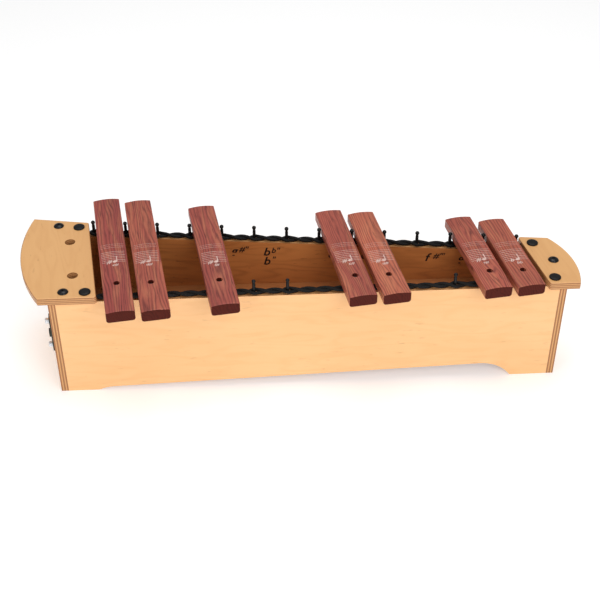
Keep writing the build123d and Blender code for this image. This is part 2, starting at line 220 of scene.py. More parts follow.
@dataclass(frozen=True)
class PinRow:
    """A straight row of pins along a rail, read from its CAD nodes.

    Attributes:
        pins: the CAD node that holds the steel pins.
        sleeves: the CAD node that holds their sleeves.
        places: the place of every pin in its row, counted in pitches from the first.
        pin_radius: radius of a steel pin.
    """

    pins: str
    sleeves: str
    places: tuple[int, ...]
    pin_radius: float = 1.2 * MM

    @cached_property
    def ends(self) -> tuple[Vector, Vector]:
        """The axes of the first and the last pin, at the pins' feet."""
        low, high = node_box(self.pins)
        radius = self.pin_radius
        return (
            Vector((low.x + radius, high.y - radius, low.z)),
            Vector((high.x - radius, low.y + radius, low.z)),
        )

    @cached_property
    def step(self) -> Vector:
        """From one place to the next, along the rail."""
        first, last = self.ends
        return (last - first) / (self.places[-1] - self.places[0])

    @property
    def angle(self) -> float:
        """Turn of the rail about Z, in radians."""
        return math.atan2(self.step.y, self.step.x)

    @property
    def top(self) -> float:
        """Height of the knobs' tops."""
        return node_box(self.sleeves)[1].z

    @property
    def foot(self) -> float:
        """Height of the rail's top edge, where the sleeves stand."""
        return node_box(self.sleeves)[0].z

    def point(self, place: float, height: float) -> Vector:
        """The point on the rail's line at a place, which may fall between pins."""
        at = self.ends[0] + self.step * (place - self.places[0])
        return Vector((at.x, at.y, height))

    def feet(self) -> list[Vector]:
        """Where every pin leaves the rail."""
        return [self.point(place, self.foot) for place in self.places]


REAR_ROW = PinRow("rear_pins", "rear_pin_sleeves", tuple(range(14)))
FRONT_ROW = PinRow("front_pins", "front_pin_sleeves", (0, 1, 3, 4, 5, 7, 8, 10, 11, 12))

# Each bar's printed name, and how far its wood leans from red towards tan.
BARS: dict[str, tuple[str, float]] = {
    "bar_c_sharp_low": ("c#", 0.0),
    "bar_d_sharp_low": ("d#", 0.55),
    "bar_f_sharp_low": ("f#", 0.2),
    "bar_c_sharp_high": ("c#", 0.4),
    "bar_d_sharp_high": ("d#", 1.0),
    "bar_g_sharp_high": ("g#", 0.5),
    "bar_b_flat_high": ("bb", 0.8),
}


# ------------------------------------------------------------------------------------------ shader graphs


class Graph:
    """Adds nodes to one node tree and links them."""

    def __init__(self, tree: bpy.types.NodeTree) -> None:
        """Starts on a tree that may already hold nodes."""
        self.tree = tree

    def add(
        self, kind: str, inputs: dict[str | int, object] | None = None, **settings: object
    ) -> bpy.types.Node:
        """Adds a node.

        Args:
            kind: the node's type name.
            inputs: a value to set or a socket to link, for each input.
            settings: the node's own settings.

        Returns:
            The new node.
        """
        node = self.tree.nodes.new(kind)
        for key, value in settings.items():
            setattr(node, key, value)
        for key, value in (inputs or {}).items():
            self.feed(node.inputs[key], value)
        return node

    def feed(self, socket: bpy.types.NodeSocket, value: object) -> None:
        """Links a socket to an input, or sets the input to a plain value."""
        if isinstance(value, bpy.types.NodeSocket):
            self.tree.links.new(value, socket)
        else:
            socket.default_value = value

    def math(
        self, operation: str, first: object, second: object = 0.0, third: object = 0.0
    ) -> bpy.types.NodeSocket:
        """A Math node's result."""
        node = self.add("ShaderNodeMath", {0: first, 1: second, 2: third}, operation=operation)
        return node.outputs[0]

    def clamp(self, value: object, low: object, high: object) -> bpy.types.NodeSocket:
        """A value stretched so that low becomes 0 and high becomes 1, and held between them."""
        node = self.add(
            "ShaderNodeMapRange", {"Value": value, "From Min": low, "From Max": high}, clamp=True
        )
        return node.outputs["Result"]

    def spread(self, share: object, low: float, high: float) -> bpy.types.NodeSocket:
        """A share from 0 to 1 spread over a range."""
        node = self.add("ShaderNodeMapRange", {"Value": share, "To Min": low, "To Max": high})
        return node.outputs["Result"]

    def vector(
        self, operation: str, first: object, second: object = (0.0, 0.0, 0.0)
    ) -> bpy.types.NodeSocket:
        """A Vector Math node's result, a value for a dot product and a vector otherwise."""
        node = self.add("ShaderNodeVectorMath", {0: first, 1: second}, operation=operation)
        return node.outputs["Value" if operation in ("DOT_PRODUCT", "LENGTH") else "Vector"]

    def noise(
        self, vector: object, scale: object, detail: float = 2.0, rough: float = 0.5
    ) -> bpy.types.NodeSocket:
        """Smooth noise from 0 to 1."""
        inputs = {"Vector": vector, "Scale": scale, "Detail": detail, "Roughness": rough}
        return self.add("ShaderNodeTexNoise", inputs).outputs["Fac"]

    def mix(self, share: object, first: object, second: object) -> bpy.types.NodeSocket:
        """Two colours mixed by a share."""
        node = self.add("ShaderNodeMix", data_type="RGBA", clamp_factor=True)
        self.feed(node.inputs["Factor"], share)
        colours = [s for s in node.inputs if s.type == "RGBA"]
        self.feed(colours[0], first)
        self.feed(colours[1], second)
        return next(s for s in node.outputs if s.type == "RGBA")

    def bump(self, height: object, distance: float, strength: float) -> bpy.types.NodeSocket:
        """A bumped normal from a height."""
        inputs = {"Height": height, "Distance": distance, "Strength": strength}
        return self.add("ShaderNodeBump", inputs).outputs["Normal"]


class EffectGroup:
    """A shader node group that several materials share, built the first time that one asks for it."""

    name: str = ""
    inputs: tuple[tuple[str, str, object], ...] = ()
    outputs: tuple[tuple[str, str], ...] = ()

    @classmethod
    def tree(cls) -> bpy.types.NodeTree:
        """The group's tree."""
        found = bpy.data.node_groups.get(cls.name)
        if found:
            return found
        tree = bpy.data.node_groups.new(cls.name, "ShaderNodeTree")
        for name, kind, value in cls.inputs:
            socket = tree.interface.new_socket(name, in_out="INPUT", socket_type=kind)
            socket.default_value = value
        for name, kind in cls.outputs:
            tree.interface.new_socket(name, in_out="OUTPUT", socket_type=kind)
        graph = Graph(tree)
        source = graph.add("NodeGroupInput").outputs
        sink = graph.add("NodeGroupOutput").inputs
        cls.fill(graph, source, sink)
        return tree

    @classmethod
    def fill(cls, graph: Graph, source: object, sink: object) -> None:
        """Builds the inside of the group; each effect has its own."""
        raise NotImplementedError

    @classmethod
    def place(cls, graph: Graph, **inputs: object) -> bpy.types.NodeOutputs:
        """Puts the group in a material.

        Args:
            graph: the material's graph.
            inputs: a value or socket for each input.

        Returns:
            The group node's outputs.
        """
        node = graph.add("ShaderNodeGroup", node_tree=cls.tree())
        for key, value in inputs.items():
            graph.feed(node.inputs[key], value)
        return node.outputs


FLOAT = "NodeSocketFloat"
VECTOR = "NodeSocketVector"


class BoardSpace(EffectGroup):
    """Turns object coordinates into a board's own: X along its grain, Y across it, Z through it."""

    name = "board_space"
    inputs = (
        ("Object", VECTOR, (0.0, 0.0, 0.0)),
        ("Normal", VECTOR, (0.0, 0.0, 1.0)),
        ("Middle", VECTOR, (0.0, 0.0, 0.0)),
        ("Along", VECTOR, (1.0, 0.0, 0.0)),
        ("Across", VECTOR, (0.0, 1.0, 0.0)),
        ("Through", VECTOR, (0.0, 0.0, 1.0)),
    )
    outputs = (("Position", VECTOR), ("Face", FLOAT), ("End", FLOAT), ("Side", FLOAT))

    @classmethod
    def fill(cls, graph: Graph, source: object, sink: object) -> None:
        """Projects the position and the normal on the board's three axes."""
        place = graph.vector("SUBTRACT", source["Object"], source["Middle"])
        shares = [graph.vector("DOT_PRODUCT", place, source[a]) for a in ("Along", "Across", "Through")]
        joined = graph.add("ShaderNodeCombineXYZ", dict(enumerate(shares))).outputs[0]
        graph.feed(sink["Position"], joined)
        through = graph.vector("DOT_PRODUCT", source["Normal"], source["Through"])
        along = graph.vector("DOT_PRODUCT", source["Normal"], source["Along"])
        graph.feed(sink["Face"], graph.clamp(graph.math("ABSOLUTE", through), 0.62, 0.82))
        graph.feed(sink["End"], graph.clamp(graph.math("ABSOLUTE", along), 0.6, 0.8))
        graph.feed(sink["Side"], through)


class Grain(EffectGroup):
    """Growth lines, fine fibres and slow changes of tone in wood."""

    name = "wood_grain"
    inputs = (
        ("Vector", VECTOR, (0.0, 0.0, 0.0)),
        ("Lines", FLOAT, 300.0),
        ("Wander", FLOAT, 4.0),
        ("Stretch", FLOAT, 0.12),
        ("Fineness", FLOAT, 2500.0),
        ("Seed", FLOAT, 0.0),
    )
    outputs = (("Growth", FLOAT), ("Fibre", FLOAT), ("Tone", FLOAT), ("Pores", FLOAT))

    @classmethod
    def fill(cls, graph: Graph, source: object, sink: object) -> None:
        """Draws contour lines through a slow noise field that is drawn out along the grain."""
        parts = graph.add("ShaderNodeSeparateXYZ", {0: source["Vector"]}).outputs
        drawn = graph.math("MULTIPLY", parts["X"], source["Stretch"])
        drawn_out = graph.add("ShaderNodeCombineXYZ", {0: drawn, 1: parts["Y"], 2: parts["Z"]}).outputs[0]
        shift = graph.add("ShaderNodeCombineXYZ", {0: source["Seed"], 1: source["Seed"]}).outputs[0]
        seeded = graph.vector("ADD", drawn_out, shift)
        slow = graph.noise(seeded, 42.0, 2.0, 0.45)
        lateral = graph.math("MULTIPLY", parts["Y"], source["Lines"])
        depth = graph.math("MULTIPLY", parts["Z"], source["Lines"])
        swept = graph.math("MULTIPLY_ADD", depth, 0.6, lateral)
        wandered = graph.math("MULTIPLY_ADD", slow, source["Wander"], swept)
        waved = graph.math("SINE", graph.math("MULTIPLY", wandered, math.tau))
        line = graph.math("MULTIPLY_ADD", waved, 0.5, 0.5)
        patchy = graph.clamp(graph.noise(seeded, 120.0, 3.0, 0.6), 0.32, 0.68)
        sharp = graph.math("POWER", line, 2.2)
        graph.feed(sink["Growth"], graph.math("MULTIPLY", sharp, graph.spread(patchy, 0.35, 1.0)))
        thread_inputs = {0: graph.math("MULTIPLY", parts["X"], 0.03), 1: parts["Y"], 2: parts["Z"]}
        threads = graph.add("ShaderNodeCombineXYZ", thread_inputs).outputs[0]
        threads = graph.vector("ADD", threads, shift)
        fibre = graph.noise(threads, source["Fineness"], 3.0, 0.6)
        graph.feed(sink["Fibre"], graph.clamp(fibre, 0.3, 0.7))
        graph.feed(sink["Tone"], graph.clamp(graph.noise(seeded, 22.0, 3.0, 0.55), 0.3, 0.7))
        coarser = graph.math("MULTIPLY", source["Fineness"], 0.45)
        pores = graph.noise(threads, coarser, 1.0, 0.4)
        graph.feed(sink["Pores"], graph.clamp(pores, 0.64, 0.72))


class Flecks(EffectGroup):
    """Short dark dashes that lie along the grain of birch."""

    name = "birch_flecks"
    inputs = (("Vector", VECTOR, (0.0, 0.0, 0.0)), ("Size", FLOAT, 260.0), ("Amount", FLOAT, 0.5))
    outputs = (("Mask", FLOAT),)

    @classmethod
    def fill(cls, graph: Graph, source: object, sink: object) -> None:
        """Keeps the peaks of a noise that is drawn out along the grain, in loose clusters."""
        scaled = graph.vector("MULTIPLY", source["Vector"], (0.22, 1.0, 1.0))
        peaks = graph.noise(scaled, source["Size"], 2.0, 0.55)
        cluster = graph.clamp(graph.noise(source["Vector"], 16.0, 2.0), 0.4, 0.68)
        edge = graph.math("MULTIPLY_ADD", source["Amount"], -0.16, 0.72)
        marks = graph.clamp(peaks, edge, graph.math("ADD", edge, 0.07))
        graph.feed(sink["Mask"], graph.math("MULTIPLY", marks, cluster))


class PlyLayers(EffectGroup):
    """The cut edge of plywood: light and dark layers with thin glue lines between them."""

    name = "ply_layers"
    inputs = (("Depth", FLOAT, 0.0), ("Layer", FLOAT, 1.3 * MM), ("Vector", VECTOR, (0.0, 0.0, 0.0)))
    outputs = (("Dark", FLOAT), ("Glue", FLOAT))

    @classmethod
    def fill(cls, graph: Graph, source: object, sink: object) -> None:
        """Counts layers through the sheet, and lets their borders waver a little."""
        waver = graph.spread(graph.noise(source["Vector"], 140.0, 2.0), -0.12, 0.12)
        count = graph.math("ADD", graph.math("DIVIDE", source["Depth"], source["Layer"]), waver)
        pair = graph.math("PINGPONG", graph.math("ADD", count, 0.5), 1.0)
        graph.feed(sink["Dark"], graph.clamp(pair, 0.42, 0.58))
        near = graph.math("ABSOLUTE", graph.math("SUBTRACT", pair, 0.5))
        graph.feed(sink["Glue"], graph.math("SUBTRACT", 1.0, graph.clamp(near, 0.03, 0.12)))


class Handling(EffectGroup):
    """Faint smears and dust that change how a surface shines."""

    name = "handling_marks"
    inputs = (("Vector", VECTOR, (0.0, 0.0, 0.0)), ("Scale", FLOAT, 30.0))
    outputs = (("Smear", FLOAT), ("Dust", FLOAT))

    @classmethod
    def fill(cls, graph: Graph, source: object, sink: object) -> None:
        """Mixes a slow smear with a fine speckle."""
        smear = graph.noise(source["Vector"], source["Scale"], 4.0, 0.6)
        graph.feed(sink["Smear"], graph.clamp(smear, 0.3, 0.7))
        speck = graph.noise(source["Vector"], 1400.0, 2.0, 0.6)
        graph.feed(sink["Dust"], graph.clamp(speck, 0.6, 0.72))


# ------------------------------------------------------------------------------------------ finishes


class Sheet(Enum):
    """How a plywood sheet stands in the box: its grain, across it and through it."""

    FRONT_RAIL = "front_rail"
    REAR_RAIL = "rear_rail"
    END = "end"
    PLATE = "plate"
    FLOOR = "floor"

    def axes(self) -> tuple[Axis, Axis, Axis]:
        """The sheet's three axes as unit vectors: along, across and through."""
        if self in (Sheet.FRONT_RAIL, Sheet.REAR_RAIL):
            turn = (FRONT_ROW if self is Sheet.FRONT_RAIL else REAR_ROW).angle
            along = (math.cos(turn), math.sin(turn), 0.0)
            return along, (0.0, 0.0, 1.0), (math.sin(turn), -math.cos(turn), 0.0)
        if self is Sheet.END:
            return (0.0, 1.0, 0.0), (0.0, 0.0, 1.0), (1.0, 0.0, 0.0)
        if self is Sheet.FLOOR:
            return (1.0, 0.0, 0.0), (0.0, 1.0, 0.0), (0.0, 0.0, 1.0)
        return (0.0, 1.0, 0.0), (1.0, 0.0, 0.0), (0.0, 0.0, 1.0)


@dataclass(frozen=True)
class Finish:
    """A surface finish: one material under one name."""

    name: str

    def material(self) -> bpy.types.Material:
        """The finish's material, made the first time that it is asked for."""
        found = bpy.data.materials.get(self.name)
        if found:
            return found
        material = bpy.data.materials.new(self.name)
        material.use_nodes = True
        material.node_tree.nodes.clear()
        graph = Graph(material.node_tree)
        shader = graph.add("ShaderNodeBsdfPrincipled")
        output = graph.add("ShaderNodeOutputMaterial")
        graph.feed(output.inputs["Surface"], shader.outputs["BSDF"])
        self.paint(graph, shader)
        return material

    def paint(self, graph: Graph, shader: bpy.types.Node) -> None:
        """Fills in the shader; each finish has its own."""
        raise NotImplementedError

    def dress(self, item: bpy.types.Object) -> None:
        """Puts the finish on an object, in every slot it has."""
        if not item.data.materials:
            item.data.materials.append(self.material())
        for slot in item.material_slots:
            slot.link = "OBJECT"
            slot.material = self.material()


@dataclass(frozen=True)
class Plywood(Finish):
    """Lacquered birch plywood: figured faces and layered edges.

    Attributes:
        sheet: how the sheet stands.
        middle: the middle of the sheet, where its layers are counted from.
        core: the thickness that the counted layers share; wood beyond it is the face veneer.
        plies: how many layers the core has.
        light: the face's main colour.
        dark: the colour of the face's growth lines.
        edge_light: the lighter layers at a cut edge.
        edge_dark: the darker layers at a cut edge.
        inside: the colour of the face that looks into the box, darker and more orange as painted shade and
            warm bounced light of the box's inside, or None where both are alike.
        inner_side: which way the inner face looks along the through axis.
        seed: moves the figure.
    """

    sheet: Sheet
    middle: Axis
    core: float
    plies: int = 7
    light: Colour = tint(253, 202, 143)
    dark: Colour = tint(236, 174, 110)
    edge_light: Colour = tint(226, 172, 112)
    edge_dark: Colour = tint(150, 88, 44)
    inside: Colour | None = None
    inner_side: float = 1.0
    seed: float = 0.0

    def paint(self, graph: Graph, shader: bpy.types.Node) -> None:
        """Draws faint growth lines and flecks on the faces, painted shade on the faces inside the box, and
        layers on the edges.
        """
        coordinates = graph.add("ShaderNodeTexCoord").outputs
        along, across, through = self.sheet.axes()
        space = BoardSpace.place(
            graph,
            Object=coordinates["Object"],
            Normal=coordinates["Normal"],
            Middle=self.middle,
            Along=along,
            Across=across,
            Through=through,
        )
        grain = Grain.place(
            graph, Vector=space["Position"], Lines=20.0, Wander=6.5, Stretch=0.2, Seed=self.seed
        )
        flecks = Flecks.place(graph, Vector=space["Position"], Size=330.0, Amount=0.42)
        marks = Handling.place(graph, Vector=space["Position"], Scale=24.0)
        face = graph.mix(graph.math("MULTIPLY", grain["Growth"], 0.3), self.light, self.dark)
        face = graph.mix(graph.math("MULTIPLY", grain["Tone"], 0.34), face, self.dark)
        face = graph.mix(graph.math("MULTIPLY", grain["Fibre"], 0.16), face, self.dark)
        face = graph.mix(graph.math("MULTIPLY", flecks["Mask"], 0.28), face, self.edge_dark)
        # Painted shade: the inner face takes a darker, more orange colour for the shaded inside of the box,
        # with the wood's own growth lines and flecks drawn over it.
        if self.inside:
            facing = graph.math("MULTIPLY", space["Side"], self.inner_side)
            inner_shade_and_figure = graph.mix(graph.math("MULTIPLY", grain["Growth"], 0.5), self.inside, self.edge_dark)
            inner_shade_and_figure = graph.mix(graph.math("MULTIPLY", flecks["Mask"], 0.75), inner_shade_and_figure, tint(84, 40, 18))
            face = graph.mix(graph.clamp(facing, 0.4, 0.6), face, inner_shade_and_figure)
        parts = graph.add("ShaderNodeSeparateXYZ", {0: space["Position"]}).outputs
        depth = graph.math("ADD", parts["Z"], self.core / 2)
        layer = self.core / self.plies
        layers = PlyLayers.place(graph, Depth=depth, Layer=layer, Vector=space["Position"])
        edge = graph.mix(graph.math("MULTIPLY", layers["Dark"], 0.8), self.edge_light, self.edge_dark)
        edge = graph.mix(graph.math("MULTIPLY", layers["Glue"], 0.45), edge, tint(104, 56, 26))
        edge = graph.mix(graph.math("MULTIPLY", grain["Fibre"], 0.3), edge, self.edge_dark)
        graph.feed(shader.inputs["Base Color"], graph.mix(space["Face"], edge, face))
        polished = graph.spread(marks["Smear"], 0.34, 0.44)
        cut = graph.math("SUBTRACT", 1.0, space["Face"])
        graph.feed(shader.inputs["Roughness"], graph.math("MULTIPLY_ADD", cut, 0.18, polished))
        sunk = graph.math("MULTIPLY", grain["Fibre"], -0.5)
        relief = graph.math("MULTIPLY_ADD", layers["Dark"], -0.5, sunk)
        graph.feed(shader.inputs["Normal"], graph.bump(relief, 0.05 * MM, 0.35))
        shader.inputs["Coat Weight"].default_value = 0.18
        shader.inputs["Coat Roughness"].default_value = 0.22


@dataclass(frozen=True)
class Rosewood(Finish):
    """Oiled rosewood with wavy dark lines, open pores and dark end grain.

    Attributes:
        middle: the middle of the bar.
        light: the wood's main colour.
        dark: its growth lines.
        pale: its lighter streaks.
        end: its end grain.
        lines: growth lines per metre across the bar.
        wander: how far the lines stray.
        seed: moves the figure, so that no two bars match.
    """

    middle: Axis
    light: Colour = tint(188, 92, 76)
    dark: Colour = tint(92, 32, 34)
    pale: Colour = tint(222, 138, 100)
    end: Colour = tint(84, 31, 22)
    lines: float = 210.0
    wander: float = 5.0
    seed: float = 0.0

    def paint(self, graph: Graph, shader: bpy.types.Node) -> None:
        """Layers streaks, growth lines, fibres and pores, and darkens the ends."""
        coordinates = graph.add("ShaderNodeTexCoord").outputs
        space = BoardSpace.place(
            graph,
            Object=coordinates["Object"],
            Normal=coordinates["Normal"],
            Middle=self.middle,
            Along=(0.0, 1.0, 0.0),
            Across=(1.0, 0.0, 0.0),
            Through=(0.0, 0.0, 1.0),
        )
        grain = Grain.place(
            graph,
            Vector=space["Position"],
            Lines=self.lines,
            Wander=self.wander,
            Stretch=0.2,
            Fineness=3200.0,
            Seed=self.seed,
        )
        broad = Grain.place(
            graph,
            Vector=space["Position"],
            Lines=self.lines * 0.24,
            Wander=self.wander * 0.7,
            Stretch=0.14,
            Fineness=900.0,
            Seed=self.seed + 3.7,
        )
        marks = Handling.place(graph, Vector=space["Position"], Scale=45.0)
        colour = graph.mix(graph.math("MULTIPLY", broad["Growth"], 0.75), self.light, self.pale)
        colour = graph.mix(graph.math("MULTIPLY", broad["Tone"], 0.4), colour, self.dark)
        colour = graph.mix(graph.math("MULTIPLY", grain["Growth"], 0.78), colour, self.dark)
        colour = graph.mix(graph.math("MULTIPLY", grain["Fibre"], 0.3), colour, self.dark)
        colour = graph.mix(graph.math("MULTIPLY", grain["Pores"], 0.75), colour, tint(58, 24, 22))
        end = graph.mix(graph.math("MULTIPLY", grain["Growth"], 0.5), self.end, tint(50, 17, 12))
        speckle = graph.noise(space["Position"], 2600.0, 2.0, 0.6)
        end = graph.mix(graph.math("MULTIPLY", graph.clamp(speckle, 0.55, 0.7), 0.6), end, tint(52, 22, 20))
        colour = graph.mix(space["End"], colour, end)
        graph.feed(shader.inputs["Base Color"], colour)
        sheen = graph.spread(marks["Smear"], 0.36, 0.5)
        graph.feed(shader.inputs["Roughness"], graph.math("MULTIPLY_ADD", space["End"], 0.2, sheen))
        pits = graph.math("MULTIPLY", grain["Pores"], -1.0)
        relief = graph.math("MULTIPLY_ADD", grain["Fibre"], -0.35, pits)
        graph.feed(shader.inputs["Normal"], graph.bump(relief, 0.12 * MM, 0.5))
        graph.feed(shader.inputs["Coat Weight"], graph.spread(space["End"], 0.08, 0.0))
        graph.feed(shader.inputs["Specular IOR Level"], graph.spread(space["End"], 0.4, 0.1))
        shader.inputs["Coat Roughness"].default_value = 0.35


@dataclass(frozen=True)
class Rubber(Finish):
    """Moulded rubber or plastic with a slight bloom.

    Attributes:
        colour: the rubber itself.
        bloom: the film on it.
        rough: the least and most roughness.
        shine: how strongly it reflects.
    """

    colour: Colour = tint(6, 6, 7)
    bloom: Colour = tint(24, 23, 24)
    rough: tuple[float, float] = (0.36, 0.56)
    shine: float = 0.3

    def paint(self, graph: Graph, shader: bpy.types.Node) -> None:
        """Mixes a pale bloom in patches over the rubber."""
        coordinates = graph.add("ShaderNodeTexCoord").outputs
        marks = Handling.place(graph, Vector=coordinates["Object"], Scale=180.0)
        bloom = graph.math("MULTIPLY", marks["Smear"], 0.3)
        dusty = graph.math("MULTIPLY_ADD", marks["Dust"], 0.25, bloom)
        graph.feed(shader.inputs["Base Color"], graph.mix(dusty, self.colour, self.bloom))
        graph.feed(shader.inputs["Roughness"], graph.spread(marks["Smear"], *self.rough))
        fine = graph.noise(coordinates["Object"], 2200.0, 2.0)
        graph.feed(shader.inputs["Normal"], graph.bump(fine, 0.05 * MM, 0.35))
        shader.inputs["Specular IOR Level"].default_value = self.shine


@dataclass(frozen=True)
class Braid(Finish):
    """Black braided cord, its yarns drawn along and round each strand.

    Attributes:
        turns: yarns counted round a strand.
        per_metre: yarn crossings counted along it.
    """

    turns: float = 6.0
    per_metre: float = 300.0

    def paint(self, graph: Graph, shader: bpy.types.Node) -> None:
        """Crosses two sets of slanting yarns on the strand's own map."""
        spot = graph.add("ShaderNodeUVMap", uv_map="strand").outputs["UV"]
        parts = graph.add("ShaderNodeSeparateXYZ", {0: spot}).outputs
        along = graph.math("MULTIPLY", parts["X"], self.per_metre)
        left = graph.math("MULTIPLY_ADD", parts["Y"], self.turns, along)
        right = graph.math("MULTIPLY_ADD", parts["Y"], -self.turns, along)
        first = graph.math("ABSOLUTE", graph.math("SINE", graph.math("MULTIPLY", left, math.pi)))
        second = graph.math("ABSOLUTE", graph.math("SINE", graph.math("MULTIPLY", right, math.pi)))
        weave = graph.math("MULTIPLY", first, second)
        coordinates = graph.add("ShaderNodeTexCoord").outputs
        fuzz = graph.noise(coordinates["Object"], 3000.0, 3.0, 0.65)
        # Painted shade and highlight: the colour is darkest in the grooves between yarns and lighter on
        # their crowns.
        colour = graph.mix(graph.clamp(weave, 0.1, 0.9), tint(2, 2, 2), tint(13, 11, 11))
        hairs = graph.math("MULTIPLY", graph.clamp(fuzz, 0.55, 0.75), 0.2)
        colour = graph.mix(hairs, colour, tint(38, 34, 32))
        graph.feed(shader.inputs["Base Color"], colour)
        graph.feed(shader.inputs["Roughness"], graph.spread(fuzz, 0.5, 0.75))
        relief = graph.math("MULTIPLY_ADD", fuzz, 0.3, weave)
        graph.feed(shader.inputs["Normal"], graph.bump(relief, 0.3 * MM, 0.8))
        shader.inputs["Specular IOR Level"].default_value = 0.25


@dataclass(frozen=True)
class Metal(Finish):
    """Bare or blackened metal with fine scuffs.

    Attributes:
        colour: the metal itself.
        scuffed: where it is rubbed.
        metallic: 1 for bare metal, less under a black coating.
        rough: the least and most roughness.
    """

    colour: Colour
    scuffed: Colour
    metallic: float = 1.0
    rough: tuple[float, float] = (0.2, 0.4)

    def paint(self, graph: Graph, shader: bpy.types.Node) -> None:
        """Varies colour and shine with fine scuffs."""
        coordinates = graph.add("ShaderNodeTexCoord").outputs
        marks = Handling.place(graph, Vector=coordinates["Object"], Scale=420.0)
        scuffs = graph.math("MULTIPLY_ADD", marks["Dust"], 0.3, graph.math("MULTIPLY", marks["Smear"], 0.3))
        graph.feed(shader.inputs["Base Color"], graph.mix(scuffs, self.colour, self.scuffed))
        graph.feed(shader.inputs["Roughness"], graph.spread(marks["Smear"], *self.rough))
        scratches = graph.noise(graph.vector("MULTIPLY", coordinates["Object"], (1.0, 0.15, 0.4)), 3000.0)
        graph.feed(shader.inputs["Normal"], graph.bump(scratches, 0.02 * MM, 0.3))
        shader.inputs["Metallic"].default_value = self.metallic


@dataclass(frozen=True)
class Ink(Finish):
    """Printed marks, worn through in fine specks.

    Attributes:
        colour: the ink.
        worn: what it fades towards.
        wear: how much of it has faded.
    """

    colour: Colour
    worn: Colour
    wear: float = 0.4

    def paint(self, graph: Graph, shader: bpy.types.Node) -> None:
        """Fades the ink in small patches."""
        coordinates = graph.add("ShaderNodeTexCoord").outputs
        marks = Handling.place(graph, Vector=coordinates["Object"], Scale=260.0)
        faded = graph.math("MULTIPLY", marks["Smear"], self.wear)
        graph.feed(shader.inputs["Base Color"], graph.mix(faded, self.colour, self.worn))
        graph.feed(shader.inputs["Roughness"], graph.spread(marks["Dust"], 0.45, 0.6))


BLACK_RUBBER = Rubber("black_rubber_finish")
BLACK_CORD = Braid("black_cord_finish")
BLACK_SCREW = Metal("black_screw_finish", tint(10, 10, 13), tint(44, 44, 50), 0.35, (0.22, 0.36))
PIN_STEEL = Metal("pin_steel_finish", tint(176, 178, 182), tint(120, 120, 122), 1.0, (0.25, 0.45))
BRIGHT_SCREW = Metal("bright_screw_finish", tint(232, 234, 238), tint(196, 198, 202), 0.55, (0.3, 0.42))
COUPLING_PLASTIC = Rubber("coupling_plastic_finish", tint(52, 56, 48), tint(84, 88, 78), (0.4, 0.55))
RED_WOOD = tint(186, 88, 76)
TAN_WOOD = tint(214, 118, 88)
PALE_INK = Ink("pale_bar_ink", tint(240, 214, 204), tint(196, 136, 122), 0.7)
BLACK_INK = Ink("black_panel_ink", tint(16, 14, 14), tint(58, 34, 22), 0.25)


# ------------------------------------------------------------------------------------------ sub-assemblies


@dataclass
class Resonator:
    """The plywood box: two rails, two ends, the plates, the floor board and the dowels.

    Attributes:
        rail_core: thickness of the rails' layers.
        end_core: thickness of the end panels' layers.
        plate_core: thickness of the plates' layers between their face veneers.
        floor_core: thickness of the floor board's layers.
        dowel_core: the dowels' thickness.
        centre_place: the place along each rail that its figure is centred on.
        centre_height: the height that it is centred on.
        inside: the colour of the faces that look into the box, darkened as painted shade of the box's
            inside.
    """

    rail_core: float = 10.0 * MM
    end_core: float = 8.0 * MM
    plate_core: float = 8.0 * MM
    floor_core: float = 5.0 * MM
    dowel_core: float = 5.0 * MM
    centre_place: float = 6.0
    centre_height: float = 60.0 * MM
    # Painted shade: darker and more orange than the outer faces, for the shaded inside of the box.
    inside: Colour = tint(196, 124, 66)

    def dress(self) -> None:
        """Finishes every board of the box."""
        for node, row, sheet, inner_side, seed in (
            ("front_panel", FRONT_ROW, Sheet.FRONT_RAIL, -1.0, 1.3),
            ("rear_panel", REAR_ROW, Sheet.REAR_RAIL, 1.0, 5.1),
        ):
            Plywood(
                f"{node}_ply",
                sheet=sheet,
                middle=tuple(row.point(self.centre_place, self.centre_height)),
                core=self.rail_core,
                inside=self.inside,
                inner_side=inner_side,
                seed=seed,
            ).dress(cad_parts[node])
        for node, inner_side in (("left_end_panel", 1.0), ("right_end_panel", -1.0)):
            Plywood(
                f"{node}_ply",
                sheet=Sheet.END,
                middle=self.middle(node),
                core=self.end_core,
                plies=5,
                inside=self.inside,
                inner_side=inner_side,
                seed=inner_side,
            ).dress(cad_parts[node])
        for node, seed in (("left_handle_plate", 2.2), ("right_handle_plate", 7.9)):
            Plywood(
                f"{node}_ply",
                sheet=Sheet.PLATE,
                middle=self.middle(node),
                core=self.plate_core,
                light=tint(238, 184, 122),
                dark=tint(218, 158, 98),
                seed=seed,
            ).dress(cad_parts[node])
        # Partly painted shade: the floor board lies in the box's shade, so its colours are darker than the
        # other boards', over the board's own tone.
        Plywood(
            "resonator_floor_ply",
            sheet=Sheet.FLOOR,
            middle=self.middle("resonator_floor"),
            core=self.floor_core,
            plies=3,
            light=tint(186, 120, 68),
            dark=tint(150, 88, 48),
            seed=4.0,
        ).dress(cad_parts["resonator_floor"])
        Plywood(
            "dowel_beech",
            sheet=Sheet.FLOOR,
            middle=self.middle("corner_dowels"),
            core=self.dowel_core,
            seed=6.0,
        ).dress(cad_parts["corner_dowels"])

    @staticmethod
    def middle(node: str) -> Axis:
        """The middle of a node's box."""
        low, high = node_box(node)
        return tuple((low + high) / 2)


